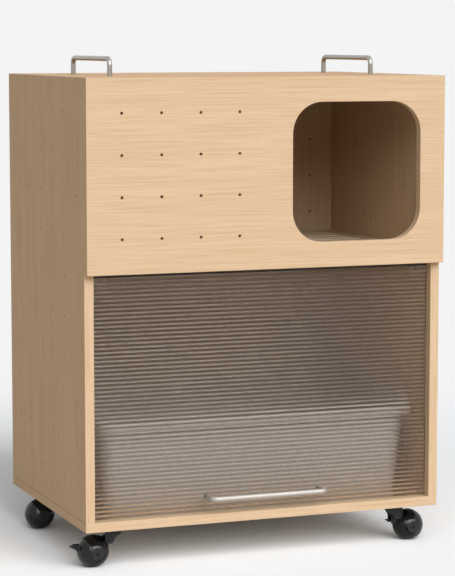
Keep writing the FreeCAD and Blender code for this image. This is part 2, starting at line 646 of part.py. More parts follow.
def make_pivots():
    """Corner brackets on the flap's back, whose pins turn in bushes in the side panels."""
    first_screw = "barrel_end - barrel_length - bracket_screw_margin - bracket_screw_pitch"
    for name, side in (("left", -1), ("right", 1)):
        bracket = new_body(f"door_pivot_{name}", ("0", "pivot_depth", "pivot_rise"))
        start = "-barrel_end" if side < 0 else "bracket_inner"
        block(bracket, "Additive", (start, "-barrel_radius", "-bracket_height / 2"),
              ("bracket_width", "bracket_thickness", "bracket_height"))
        start = "-barrel_end" if side < 0 else "barrel_end - barrel_length"
        rod(bracket, "Additive", "X", (start, "0", "0"), "barrel_radius", "barrel_length")
        pin = "(inner_half - barrel_end + bush_length)"
        start = f"-barrel_end - {pin}" if side < 0 else "barrel_end"
        rod(bracket, "Additive", "X", (start, "0", "0"), "pivot_radius", pin)
        start = f"-({first_screw}) - bracket_screw_pitch" if side < 0 else first_screw
        hole = rod(bracket, "Subtractive", "Y", (start, "-barrel_radius - overrun", "0"),
                   "bracket_screw_radius + fit_gap", "bracket_thickness + 2 * overrun")
        repeat(bracket, [hole], ("X", "2", "bracket_screw_pitch"))
        face = "-inner_half" if side < 0 else "inner_half"
        bush = new_body(f"pivot_bush_{name}", (face, "pivot_depth", "pivot_rise"))
        start = "0" if side < 0 else "-bush_flange"
        rod(bush, "Additive", "X", (start, "0", "0"), "bush_flange_radius", "bush_flange")
        start = "-bush_length" if side < 0 else "0"
        rod(bush, "Additive", "X", (start, "0", "0"), "bush_radius", "bush_length")
        rod(bush, "Subtractive", "X", ("-bush_length - overrun", "0", "0"), "pivot_radius + fit_gap",
            "2 * bush_length + 2 * overrun")
    outermost = f"-({first_screw}) - bracket_screw_pitch"
    screws = new_body("door_pivot_screws", (outermost, "sheet_back", "pivot_rise"))
    screw = turned(screws, "Y", (
        ("-bracket_screw_bite", "bracket_thickness", "bracket_screw_radius", "bracket_screw_radius"),
        ("bracket_thickness", "bracket_thickness + bracket_screw_head",
         "bracket_screw_head_radius", "bracket_screw_head_radius")))
    repeat(screws, [screw], ("X", "2", "bracket_screw_pitch"),
           ("X", "2", f"2 * ({first_screw}) + bracket_screw_pitch"))


def make_stops():
    for name, start in (("door_stop_left", "-inner_half"), ("door_stop_right", "inner_half - stop_width")):
        slab(name, (start, "sheet_back + run_gap", "board"),
             ("stop_width", "stop_depth", "stop_height"))


def lofted(body, kind, name, sections):
    """A loft between two rounded rectangles, each with its height, width, depth and corner."""
    profiles = []
    for index, (height, width, depth, corner) in enumerate(sections):
        sketch = new_sketch(body, f"{name}_{index}", "XY_Plane")
        bind(sketch, "AttachmentOffset.Base.z", height)
        rounded(sketch, ("0", "0"), width, depth, corner)
        profiles.append(sketch)
    loft = body.newObject(f"PartDesign::{kind}Loft", f"{body.Label}_{name}")
    loft.Profile = profiles[0]
    loft.Sections = profiles[1:]
    loft.Ruled = True
    return loft


def make_tray():
    """A tapered tub with an overhanging rim whose skirt turns down."""
    tray = new_body("litter_tray", ("0", "tray_front + tray_top_depth / 2", "board"))
    brim_width, brim_depth = "(tray_top_width - 2 * tray_rim)", "(tray_top_depth - 2 * tray_rim)"
    lofted(tray, "Additive", "tub", (
        ("0", "tray_base_width", "tray_base_depth", "tray_base_corner"),
        ("tray_height", brim_width, brim_depth, "tray_corner - tray_rim")))
    skirt = new_sketch(tray, "skirt", "XY_Plane")
    bind(skirt, "AttachmentOffset.Base.z", "tray_height - tray_rim_drop")
    rounded(skirt, ("0", "0"), "tray_top_width", "tray_top_depth", "tray_corner")
    pad(tray, skirt, "tray_rim_drop")
    lofted(tray, "Subtractive", "hollow", (
        ("tray_wall", "tray_base_width - 2 * tray_wall", "tray_base_depth - 2 * tray_wall",
         "tray_base_corner - tray_wall"),
        ("tray_height + overrun", f"{brim_width} - 2 * tray_wall", f"{brim_depth} - 2 * tray_wall",
         "tray_corner - tray_rim - tray_wall")))
    return tray


def make_caster_plate(name, at):
    plate = new_body(name, at)
    outline = new_sketch(plate, "outline", "XY_Plane")
    bind(outline, "AttachmentOffset.Base.z", "-plate_thickness")
    rounded(outline, ("0", "0"), "plate_side", "plate_side", "plate_corner")
    pad(plate, outline, "plate_thickness")
    corner = "-plate_screw_pitch / 2"
    sink = cone(plate, "Subtractive", (corner, corner, "-plate_thickness"),
                "plate_screw_head_radius + fit_gap", "plate_screw_radius + fit_gap", "plate_thickness")
    repeat(plate, [sink], ("X", "2", "plate_screw_pitch"), ("Y", "2", "plate_screw_pitch"))
    rod(plate, "Subtractive", "Z", ("0", "0", "-plate_thickness - overrun"), "kingpin_radius + fit_gap",
        "plate_thickness + 2 * overrun")
    return plate


def make_housing(name, at, turn, pedal_side):
    """The swivelling moulding: a neck under the plate and a spherical hood over the wheel.

    The wheel trails along the piece's own X. The pedal's ears stand on the trailing side of the
    wheel (1) or under the neck on its leading side (-1).
    """
    housing = new_body(name, at, turn=turn)
    centre = ("caster_trail", "0", "axle_low")
    ball(housing, "Additive", centre, "hood_outer")
    neck = new_sketch(housing, "neck", "XZ_Plane")
    polygon(neck, (
        ("-neck_back", "neck_top"), ("-neck_back", "-neck_end_drop"),
        ("-neck_knee_back", "-neck_knee_drop"), ("-neck_heel_back", "-neck_heel_drop"),
        ("neck_front", "-neck_heel_drop"), ("neck_front", "neck_top")))
    pad(housing, neck, "2 * neck_half", both_ways=True)
    reach, slope, level = "(2 * hood_outer)", "sin(hood_cut_angle)", "cos(hood_cut_angle)"
    opening_corner = (
        f"caster_trail - (hood_cut + {reach}) * {slope} - {reach} * {level}", "-hood_outer - overrun",
        f"axle_low - (hood_cut + {reach}) * {level} + {reach} * {slope}")
    opening = block(housing, "Subtractive", opening_corner,
                    (f"2 * {reach}", "2 * hood_outer + 2 * overrun", reach))
    opening.Placement.Rotation = FreeCAD.Rotation(FreeCAD.Vector(0, 1, 0), value("hood_cut_angle"))
    bind(opening, "Placement.Rotation.Angle", "hood_cut_angle")
    ear_start = "caster_trail + ear_inner_reach" if pedal_side > 0 else "caster_trail - ear_outer_reach"
    ear_height = "ear_top - ear_low" if pedal_side > 0 else "caster_drop - ear_low - neck_knee_drop"
    for start in ("ear_inner", "-ear_outer"):
        block(housing, "Additive", (ear_start, start, "axle_low + ear_low"),
              ("ear_outer_reach - ear_inner_reach", "ear_thickness", ear_height))
    ball(housing, "Subtractive", centre, "hood_inner")
    for start in ("wheel_half + run_gap", "-hub_face"):
        rod(housing, "Additive", "Y", ("caster_trail", start, "axle_low"), "hub_radius",
            "hub_face - wheel_half - run_gap")
    for start in ("hub_face", "-hub_face - hood_outer"):
        block(housing, "Subtractive", ("caster_trail - hood_outer", start, "axle_low - hood_outer"),
              ("2 * hood_outer", "hood_outer", "2 * hood_outer"))
    rod(housing, "Subtractive", "Y", ("caster_trail", "-hood_outer", "axle_low"), "axle_radius + fit_gap",
        "2 * hood_outer")
    rod(housing, "Subtractive", "Z", ("0", "0", "neck_top - kingpin_bite - fit_gap"),
        "kingpin_radius + fit_gap", "kingpin_bite + fit_gap + overrun")
    if pedal_side > 0:
        block(housing, "Subtractive",
              ("caster_trail + ear_inner_reach", "-ear_inner", "axle_low + shoe_slot_low"),
              ("hood_outer - ear_inner_reach + overrun", "2 * ear_inner", "ear_top - shoe_slot_low"))
    pivot = "caster_trail + pedal_pivot_reach" if pedal_side > 0 else "caster_trail - pedal_pivot_reach"
    rod(housing, "Subtractive", "Y", (pivot, "-ear_outer - overrun", "axle_low + pedal_pivot_rise"),
        "trunnion_radius + fit_gap", "2 * ear_outer + 2 * overrun")
    return housing


def make_wheel(name, at, turn):
    wheel = new_body(name, at, turn=turn)
    centre = ("caster_trail", "0", "axle_low")
    ball(wheel, "Additive", centre, "wheel_radius")
    for start in ("wheel_half", "-wheel_half - wheel_radius"):
        block(wheel, "Subtractive", ("caster_trail - wheel_radius", start, "axle_low - wheel_radius"),
              ("2 * wheel_radius", "wheel_radius", "2 * wheel_radius"))
    rod(wheel, "Subtractive", "Y", ("caster_trail", "-wheel_radius", "axle_low"), "axle_radius + fit_gap",
        "2 * wheel_radius")
    return wheel


def make_axle(name, at, turn):
    axle = new_body(name, at, turn=turn)
    rod(axle, "Additive", "Y", ("caster_trail", "axle_recess - hub_face", "axle_low"), "axle_radius",
        "2 * (hub_face - axle_recess)")
    return axle


def make_pedal(name, at, turn, side):
    """A brake lever with a thin tip, a shoe towards the wheel and two trunnions."""
    pedal = new_body(name, at, turn=turn)
    sketch = new_sketch(pedal, "profile", "XZ_Plane")
    shape = (
        ("pedal_reach", "pedal_top"), ("pedal_reach", "pedal_tip_low"), ("pedal_neck_reach", "pedal_tip_low"),
        ("pedal_shoe_reach", "pedal_shoe_low"), ("pedal_back_reach", "pedal_top"))
    sign = "+" if side > 0 else "-"
    polygon(sketch, tuple((f"caster_trail {sign} {reach}", f"axle_low + {rise}") for reach, rise in shape))
    pad(pedal, sketch, "2 * pedal_half", both_ways=True)
    rod(pedal, "Additive", "Y",
        (f"caster_trail {sign} pedal_pivot_reach", "-ear_outer", "axle_low + pedal_pivot_rise"),
        "trunnion_radius", "2 * ear_outer")
    return pedal


def make_caster_groups(at):
    """Kingpins, washers and screws of all the casters."""
    spread = (("X", "2", "caster_spacing_x"), ("Y", "2", "caster_spacing_y"))
    pins = new_body("caster_kingpins", at)
    pin = rod(pins, "Additive", "Z", ("0", "0", "neck_top - kingpin_bite + run_gap"), "kingpin_radius",
              "kingpin_bite - neck_top - run_gap")
    repeat(pins, [pin], *spread)
    washers = new_body("swivel_washers", at)
    sketch = new_sketch(washers, "ring", "XY_Plane")
    bind(sketch, "AttachmentOffset.Base.z", "-plate_thickness - washer_thickness")
    for index, radius in enumerate(("washer_radius", "kingpin_radius + fit_gap")):
        sketch.addGeometry(Part.Circle(FreeCAD.Vector(), FreeCAD.Vector(0, 0, 1), value(radius)))
        limit(sketch, "Radius", index, radius)
        sketch.addConstraint(Sketcher.Constraint("Coincident", index, 3, -1, 1))
    repeat(washers, [pad(washers, sketch, "washer_thickness")], *spread)
    corner = [f"{text} - plate_screw_pitch / 2" for text in at[:2]]
    screws = new_body("caster_screws", (*corner, at[2]))
    screw = turned(screws, "Z", (
        ("-plate_thickness", "0", "plate_screw_head_radius", "plate_screw_radius"),
        ("0", "plate_screw_bite", "plate_screw_radius", "plate_screw_radius")))
    repeat(screws, [screw], ("X", "2", "plate_screw_pitch"), ("Y", "2", "plate_screw_pitch"), *spread)


def make_casters():
    left, right = "-caster_spacing_x / 2", "caster_spacing_x / 2"
    front, rear = "caster_middle - caster_spacing_y / 2", "caster_middle + caster_spacing_y / 2"
    for name, x, y, turn, pedal_side in (
            ("front_left", left, front, 180, 1), ("front_right", right, front, 0, -1),
            ("rear_left", left, rear, 180, -1), ("rear_right", right, rear, 0, 1)):
        at = (x, y, "0")
        make_caster_plate(f"caster_plate_{name}", at)
        make_housing(f"caster_housing_{name}", at, turn, pedal_side)
        make_wheel(f"caster_wheel_{name}", at, turn)
        make_axle(f"caster_axle_{name}", at, turn)
        make_pedal(f"brake_pedal_{name}", at, turn, pedal_side)
    make_caster_groups((left, front, "0"))


make_side("side_panel_left", -1)
make_side("side_panel_right", 1)
make_bottom_board()
make_back_panel()
make_front_panel()
make_shelf()
make_all_dowels()
make_cleats()
make_lid()
make_door_sheet()
make_door_handle()
make_pivots()
make_stops()
make_tray()
make_casters()

doc.recompute()
broken = [item.Name for item in doc.Objects if "Invalid" in item.State or "Error" in item.State]
if broken:
    raise RuntimeError(f"failed to build: {broken}")
os.makedirs("parts", exist_ok=True)
for piece in (item for item in doc.Objects if item.TypeId == "PartDesign::Body"):
    shape = piece.Shape
    if shape.isNull() or not shape.isValid() or not shape.Solids:
        raise RuntimeError(f"{piece.Label} has no sound shape")
    shape.exportStep(f"parts/{piece.Label}.step")
    print(piece.Label, len(shape.Solids), round(shape.Volume))
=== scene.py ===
"""Finishes, ribbed clear flap, litter tray and studio for the cat cabinet on ball casters."""
import math
from functools import partial

import bpy
import numpy as np
from bpy.props import FloatProperty, FloatVectorProperty, IntProperty, PointerProperty
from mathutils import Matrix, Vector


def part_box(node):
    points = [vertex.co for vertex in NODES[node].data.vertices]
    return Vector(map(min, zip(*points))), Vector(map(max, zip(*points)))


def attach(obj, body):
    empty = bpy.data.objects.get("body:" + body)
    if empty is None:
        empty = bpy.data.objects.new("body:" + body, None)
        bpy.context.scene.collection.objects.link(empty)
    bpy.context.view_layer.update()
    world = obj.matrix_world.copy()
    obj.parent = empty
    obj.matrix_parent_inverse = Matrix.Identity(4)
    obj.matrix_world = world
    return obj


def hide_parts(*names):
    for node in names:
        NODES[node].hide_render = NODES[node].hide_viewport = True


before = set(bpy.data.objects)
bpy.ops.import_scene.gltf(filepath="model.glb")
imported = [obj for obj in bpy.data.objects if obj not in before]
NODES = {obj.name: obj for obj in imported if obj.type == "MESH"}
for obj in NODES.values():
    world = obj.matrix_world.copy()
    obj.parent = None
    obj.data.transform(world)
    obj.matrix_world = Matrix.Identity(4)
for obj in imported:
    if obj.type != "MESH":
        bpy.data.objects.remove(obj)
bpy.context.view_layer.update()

bl_info = {
    "name": "Cat cabinet",
    "version": (1, 0, 0),
    "blender": (4, 5, 0),
    "location": "3D View > Sidebar > Cat cabinet",
    "description": "Dresses the cat cabinet's boards, flap, tray, handles and casters",
    "category": "Object",
}

CORNERS = ("front_left", "front_right", "rear_left", "rear_right")
FLAP_LOW, FLAP_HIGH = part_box("door_sheet")
TRAY_LOW, TRAY_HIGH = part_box("litter_tray")
WHEEL_LOW, WHEEL_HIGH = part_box("caster_wheel_front_right")

# Where one finish gives way to another, in metres: the start and the end of the change.
BACKING_DEPTH = np.array((0.0003, 0.0005))  # up from a board's underside
END_DEPTH = np.array((0.0003, 0.0001))      # in from a board's ends
SEAM_DEPTH = np.array((0.0014, 0.0006))     # down from a board's top
# The clear sheet's dark top band is a painted shadow, where the front panel shades it.
SHADOW_BAND_DEPTH = np.array((0.0059, 0.0055))   # down from the clear sheet's top
HAZE_DEPTH = np.array((0.0008, 0.0004))     # forward from the clear sheet's back
HUB_RADIUS = (0.0099, 0.0102)               # out from the wheel's axle
HOOD_INSIDE = (0.2505, 0.2515)              # out from the cabinet's middle plane
FLOOR_FADE = (0.8, 2.2)                     # out from the cabinet's middle

# The same by the upright share of the surface's normal.
CUT_SLOPE = (0.4, 0.6)
# Where the painted shade under each rib gives way to painted light on its top side.
RIB_SHADE_SLOPE = (-0.55, 0.75)

# Depths of fine relief, in metres.
WOOD_RELIEF = 0.0003
FINE_RELIEF = 0.0001

# Steps of the new surfaces.
EDGE_STEPS = 6        # points on each rounded edge of the tray's section
CORNER_STEPS = 13     # points on each round corner of the tray in plan
FLOOR_INSET = 0.7     # where the tray's floor is closed, as a share of the foot's corner radius
SHARP_ANGLE = 30      # degrees from which an edge is shown sharp

# Distant lights, in degrees: tilt from straight down, turn to the right of the front, spread.
SOFT_TURNS = {"left_light": -22, "middle_light": 12, "right_light": 32}
SOFT_TILT, SOFT_SPREAD = 57, 44
TOP_TILT, TOP_SPREAD = 12, 70
FLOOR_REACH = 12.0    # metres from the middle to each side of the floor


def colour(name, description, default):
    """A colour for a property group."""
    return FloatVectorProperty(
        name=name, description=description, default=default, subtype="COLOR", size=3, min=0, max=1)


def length(name, description, default):
    """A length in metres for a property group."""
    return FloatProperty(
        name=name, description=description, default=default, subtype="DISTANCE", unit="LENGTH", min=0)


def strength(name, description, default):
    """The strength of a light for a property group."""
    return FloatProperty(name=name, description=description, default=default, min=0)


class CabinetFinishes(bpy.types.PropertyGroup):
    """Colours of the cabinet's surfaces."""
    veneer: colour("Veneer", "Ground colour of the beech veneer", (0.712, 0.533, 0.354))
    # A warmer tone for the lid's veneer, also made brighter with painted light, as its top catches
    # more light from above.
    warm_lit_lid_veneer: colour("Lid veneer", "Warmer ground of the lid's veneer", (0.84, 0.552, 0.326))
    veneer_streak: colour("Veneer streak", "Darker late wood of the veneer", (0.6, 0.41, 0.245))
    veneer_fleck: colour("Veneer fleck", "Short ray flecks of the veneer", (0.42, 0.26, 0.14))
    backing_foil: colour("Backing foil", "Pale foil under the bottom board", (0.74, 0.73, 0.715))
    board_core: colour("Board core", "Pale core in the cuts of the shelf", (0.95, 0.82, 0.65))
    # Painted shade: the dark sheet under the lid dims the light bounced into the entry's top.
    lid_painted_shade_backing: colour("Lid backing", "Brown backing sheet under the lid", (0.17, 0.1, 0.06))
    bare_beech: colour("Bare beech", "Planed beech of dowels and cleats", (0.7, 0.51, 0.33))
    # Clear sheet is the sheet's tint and also the painted light on each rib's top side; Clear shade
    # is painted shade under each rib, as if lit from above.
    clear_sheet: colour("Clear sheet", "Tint of the clear ribbed sheet", (0.95, 0.9, 0.855))
    rib_painted_shade: colour("Clear shade", "Tint under each rib of the sheet", (0.44, 0.385, 0.34))
    # Painted shadow: the dark band along the sheet's top stands for the front panel's shade.
    painted_shadow_edge: colour("Clear edge", "Dark sealed edge along the sheet's top", (0.03, 0.022, 0.018))
    passed_light: colour("Passed light", "Share of light that the sheet lets in", (0.83, 0.815, 0.8))
    satin_steel: colour("Satin steel", "Brushed rod of the lid's handles", (0.37, 0.355, 0.335))
    pull_steel: colour("Pull steel", "Blasted rod of the flap's handle", (0.478, 0.449, 0.416))
    zinc_steel: colour("Zinc steel", "Plating of screws and pins", (0.56, 0.57, 0.59))
    burnished_steel: colour("Burnished steel", "Screws of the flap's pivots", (0.45, 0.4, 0.36))
    gloss_black: colour("Gloss black", "Moulded hoods and pedals", (0.004, 0.004, 0.0045))
    hub_black: colour("Hub black", "Matt hub discs and necks of the hoods", (0.01, 0.01, 0.0105))
    wheel_black: colour("Wheel black", "Satin plastic of the wheels", (0.009, 0.009, 0.0095))
    plate_black: colour("Plate black", "Painted caster plates and axles", (0.013, 0.013, 0.0135))
    tray_white: colour("Tray white", "Moulded litter tray", (0.505, 0.515, 0.52))
    nylon: colour("Nylon", "Pivot bushes and swivel washers", (0.7, 0.69, 0.65))


class FlapSizes(bpy.types.PropertyGroup):
    """Sizes of the ribbed sheet."""
    rib_pitch: length("Rib pitch", "Spacing of the ribs", 0.0067)
    rib_width: length("Rib width", "Width of a rib at its foot", 0.0063)
    rib_height: length("Rib height", "Height of a rib", 0.002)
    rib_count: IntProperty(name="Ribs", description="Number of ribs", default=57, min=1)
    rib_steps: IntProperty(name="Steps", description="Facets across one rib", default=20, min=4)


class TraySizes(bpy.types.PropertyGroup):
    """Sizes of the litter tray's wall and edges."""
    wall: length("Wall", "Thickness of the tray's wall", 0.003)
    taper: length("Taper", "Rim beyond the foot on every side", 0.025)
    rim: length("Rim", "Overhang of the rim", 0.01)
    rim_drop: length("Rim drop", "Height of the rim's skirt", 0.012)
    foot_corner: length("Foot corner", "Corner radius in plan at the foot", 0.018)
    rim_corner: length("Rim corner", "Corner radius in plan at the rim", 0.03)
    edge: length("Edge", "Rounding of the rim's edges", 0.0025)
    foot_edge: length("Foot edge", "Rounding between wall and floor", 0.009)


class StudioSettings(bpy.types.PropertyGroup):
    """Floor, light and camera."""
    floor: colour("Floor", "Pale studio floor", (0.72, 0.635, 0.55))
    shown_floor: FloatVectorProperty(
        name="Shown floor", description="Floor as it is seen, level with the backdrop",
        default=(1.15, 1.17, 1.195), subtype="COLOR", size=3, min=0, soft_max=2)
    backdrop: colour("Backdrop", "Pale surround as it is seen", (0.905, 0.905, 0.905))
    left_light: strength("Left light", "Left third of the soft light", 1.09)
    middle_light: strength("Middle light", "Middle of the soft light", 1.61)
    right_light: strength("Right light", "Right third of the soft light", 0.54)
    top_light: strength("Top light", "Soft light from above", 0.25)
    room_light: strength("Room light", "Even light of the room", 0.125)
    eye: FloatVectorProperty(
        name="Camera", description="Place of the camera", default=(-1.31175, -3.43716, 0.82554),
        subtype="XYZ", unit="LENGTH", size=3)
    aim: FloatVectorProperty(
        name="Aim", description="Tilt, roll and turn of the camera",
        default=(math.radians(83.6074), 0.0, math.radians(-21.0266)), subtype="EULER", size=3)
    lens: FloatProperty(
        name="Lens", description="Focal length in millimetres", default=139.956, min=1)


def node(tree, kind, values=None, **settings):
    """Add a shader node with its settings and its fixed input values."""
    made = tree.nodes.new(kind)
    for name, item in settings.items():
        setattr(made, name, item)
    for name, item in (values or {}).items():
        made.inputs[name].default_value = item
    return made


def new_finish(name, base, **values):
    """A material with one Principled shader, whose inputs give the values their names.

    Returns the material with its tree and its shader.
    """
    material = bpy.data.materials.new(name)
    material.use_nodes = True
    tree = material.node_tree
    shader = tree.nodes["Principled BSDF"]
    shader.inputs["Base Color"].default_value = (*base, 1)
    for key, item in values.items():
        shader.inputs[key.replace("_", " ").title().replace("Ior", "IOR")].default_value = item
    return material, tree, shader


def sockets(tree, *pairs):
    """Link each pair of sockets."""
    for start, end in pairs:
        tree.links.new(start, end)


def parts(tree, kind):
    """X, Y and Z of the Object coordinates or of the surface's Normal."""
    coordinates = node(tree, "ShaderNodeTexCoord")
    split = node(tree, "ShaderNodeSeparateXYZ")
    sockets(tree, (coordinates.outputs[kind], split.inputs["Vector"]))
    return split.outputs


def worked(tree, operation, *terms):
    """Result of one arithmetic step on one or two terms, each a socket or a number."""
    made = node(tree, "ShaderNodeMath", operation=operation)
    for end, term in zip(made.inputs, terms):
        if isinstance(term, bpy.types.NodeSocket):
            sockets(tree, (term, end))
        else:
            end.default_value = term
    return made.outputs["Value"]


def noise(tree, scale, detail=2.0, roughness=0.5, distortion=0.0):
    """Noise in Object coordinates, whose lumps are one over scale metres long on each axis."""
    coordinates = node(tree, "ShaderNodeTexCoord")
    mapping = node(tree, "ShaderNodeMapping", {"Scale": scale})
    texture = node(tree, "ShaderNodeTexNoise", {
        "Scale": 1.0, "Detail": detail, "Roughness": roughness, "Distortion": distortion})
    sockets(tree, (coordinates.outputs["Object"], mapping.inputs["Vector"]),
            (mapping.outputs["Vector"], texture.inputs["Vector"]))
    return texture.outputs["Fac"]


def ranged(tree, source, low, high, start=0.0, end=1.0):
    """Carry a value smoothly from start to end as the source goes from low to high."""
    made = node(tree, "ShaderNodeMapRange", {
        "From Min": low, "From Max": high, "To Min": start, "To Max": end},
        interpolation_type="SMOOTHSTEP")
    sockets(tree, (source, made.inputs["Value"]))
    return made.outputs["Result"]


def mixed(tree, factor, first, second):
    """Blend two colours, each a socket or a plain colour, by a factor socket."""
    made = node(tree, "ShaderNodeMix", data_type="RGBA")
    sockets(tree, (factor, made.inputs["Factor"]))
    for name, item in (("A", first), ("B", second)):
        end = next(s for s in made.inputs if s.name == name and s.type == "RGBA")
        if isinstance(item, bpy.types.NodeSocket):
            sockets(tree, (item, end))
        else:
            end.default_value = (*item, 1)
    return next(s for s in made.outputs if s.type == "RGBA")


def raised(tree, shader, height, weight, depth):
    """Feed a height into the shader's normal."""
    bump = node(tree, "ShaderNodeBump", {"Strength": weight, "Distance": depth})
    sockets(tree, (height, bump.inputs["Height"]), (bump.outputs["Normal"], shader.inputs["Normal"]))


def grain(along, long, across):
    """Scales of a pattern that runs long along one axis and is fine across the other two."""
    return tuple(long if name == along else across for name in "XYZ")


def veneer_finish(name, along, finishes, ground, details=()):
    """Matt beech veneer: broad pale bands, fine late-wood lines and short flecks along one axis.

    Each detail is a function of the tree and the colour so far, and gives the colour with the
    detail laid over it.
    """
    material, tree, shader = new_finish(name, ground, specular_ior_level=0.01)
    broad = noise(tree, grain(along, long=1.6, across=34), detail=3, roughness=0.55, distortion=0.6)
    fine = noise(tree, grain(along, long=7, across=400), detail=3, roughness=0.6)
    short = noise(tree, grain(along, long=110, across=900), detail=1, roughness=0.4)
    bands = ranged(tree, broad, 0.35, 0.7)
    lines = ranged(tree, fine, 0.4, 0.68)
    flecks = ranged(tree, short, 0.66, 0.76)
    shown = mixed(tree, ranged(tree, bands, 0, 1, end=0.24), ground, finishes.veneer_streak)
    shown = mixed(tree, ranged(tree, lines, 0, 1, end=0.6), shown, finishes.veneer_streak)
    shown = mixed(tree, ranged(tree, flecks, 0, 1, end=0.3), shown, finishes.veneer_fleck)
    for detail in details:
        shown = detail(tree, shown)
    sockets(tree, (shown, shader.inputs["Base Color"]),
            (ranged(tree, lines, 0, 1, start=0.46, end=0.58), shader.inputs["Roughness"]))
    raised(tree, shader, lines, 0.12, WOOD_RELIEF)
    return material


def backed(tree, shown, board, backing):
    """Another colour on the underside of a board given by its two corners."""
    low, _ = board
    height = parts(tree, "Object")["Z"]
    below = ranged(tree, height, *(low.z + BACKING_DEPTH), start=1, end=0)
    return mixed(tree, below, shown, backing)


def seamed(tree, shown, board, seam):
    """A fine seam along the top of both ends of a board given by its two corners."""
    _, high = board
    spot = parts(tree, "Object")
    side = worked(tree, "ABSOLUTE", spot["X"])
    ends = ranged(tree, side, *(high.x - END_DEPTH))
    edge = ranged(tree, spot["Z"], *(high.z - SEAM_DEPTH), end=0.8)
    return mixed(tree, worked(tree, "MULTIPLY", ends, edge), shown, seam)


def cored(tree, shown, core):
    """Another colour on the upright faces, where a lying board is cut."""
    level = worked(tree, "ABSOLUTE", parts(tree, "Normal")["Z"])
    return mixed(tree, ranged(tree, level, *CUT_SLOPE, start=1, end=0), shown, core)


def beech_finish(name, along, finishes):
    """Planed solid beech with soft growth lines."""
    material, tree, shader = new_finish(
        name, finishes.bare_beech, roughness=0.6, specular_ior_level=0.2)
    lines = noise(tree, grain(along, long=6, across=260), detail=3)
    streaks = ranged(tree, lines, 0.35, 0.7, end=0.6)
    shown = mixed(tree, streaks, finishes.bare_beech, finishes.veneer_streak)
    sockets(tree, (shown, shader.inputs["Base Color"]))
    raised(tree, shader, lines, 0.15, WOOD_RELIEF)
    return material


def clear_finish(name, finishes):
    """Clear moulded plastic, smooth on the ribbed front, hazy on the flat back, with a painted shadow
    as a dark band along its top edge.

    The tint follows the surface's slope as painted light and shade: deep on the underside of each
    rib, pale on its top side, as if lit from above.
    """
    material, tree, shader = new_finish(
        name, finishes.clear_sheet, transmission_weight=1.0, ior=1.49,
        specular_tint=(0.7, 0.6, 0.52, 1))
    spot = parts(tree, "Object")
    # Painted light and shade on the ribs: pale where a rib faces up, deep where it faces down.
    rib_lit_side = ranged(tree, parts(tree, "Normal")["Z"], *RIB_SHADE_SLOPE)
    # Painted shadow: a dark band along the sheet's top, where the front panel shades it.
    shadowed = ranged(tree, spot["Z"], *(FLAP_HIGH.z - SHADOW_BAND_DEPTH))
    behind = ranged(tree, spot["Y"], *(FLAP_HIGH.y - HAZE_DEPTH))
    haze = ranged(tree, noise(tree, (60, 60, 60), detail=3), 0.3, 0.7, start=0.16, end=0.22)
    ribbed = mixed(tree, rib_lit_side, finishes.rib_painted_shade, finishes.clear_sheet)
    rough = node(tree, "ShaderNodeMix", {"A": 0.1})
    sockets(tree, (mixed(tree, shadowed, ribbed, finishes.painted_shadow_edge), shader.inputs["Base Color"]),
            (behind, rough.inputs["Factor"]), (haze, rough.inputs["B"]),
            (rough.outputs["Result"], shader.inputs["Roughness"]))
    let_through(tree, shader, finishes.passed_light)
    return material


def let_through(tree, shader, tint):
    """Let lamps and matt light shine straight through a clear piece, dimmed by a tint."""
    path = node(tree, "ShaderNodeLightPath")
    film = node(tree, "ShaderNodeBsdfTransparent", {"Color": (*tint, 1)})
    shown = shader.outputs["BSDF"]
    for kind in ("Is Diffuse Ray", "Is Shadow Ray"):
        blend = node(tree, "ShaderNodeMixShader")
        sockets(tree, (path.outputs[kind], blend.inputs["Fac"]), (shown, blend.inputs[1]),
                (film.outputs["BSDF"], blend.inputs[2]))
        shown = blend.outputs["Shader"]
    sockets(tree, (shown, tree.nodes["Material Output"].inputs["Surface"]))


def fitting_finish(name, finishes):
    """Small clear mouldings bonded to a clear sheet, seen as a thin gloss with fine haze."""
    material, tree, shader = new_finish(name, finishes.clear_sheet, alpha=0.09)
    haze = ranged(tree, noise(tree, (300, 300, 300)), 0.3, 0.7, start=0.1, end=0.25)
    sockets(tree, (haze, shader.inputs["Roughness"]))
    return material


def brushed_finish(name, base, along, rough):
    """Brushed metal: fine scratches along one axis vary its gloss and its surface."""
    material, tree, shader = new_finish(name, base, metallic=1.0)
    scratches = noise(tree, grain(along, long=40, across=3000))
    gloss = ranged(tree, scratches, 0.25, 0.75, start=rough - 0.06, end=rough + 0.08)
    sockets(tree, (gloss, shader.inputs["Roughness"]))
    raised(tree, shader, scratches, 0.05, FINE_RELIEF)
    return material


def moulded_finish(name, base, rough, grain_size, shine=0.5):
    """Moulded plastic or paint with a fine grain of a given lump size and soft patches of gloss."""
    material, tree, shader = new_finish(name, base, specular_ior_level=shine)
    lumps = noise(tree, (1 / grain_size,) * 3, detail=3)
    patches = noise(tree, (25, 25, 25))
    gloss = ranged(tree, patches, 0.3, 0.7, start=rough * 0.95, end=rough * 1.07)
    sockets(tree, (gloss, shader.inputs["Roughness"]))
    raised(tree, shader, lumps, 0.2, FINE_RELIEF)
    return material


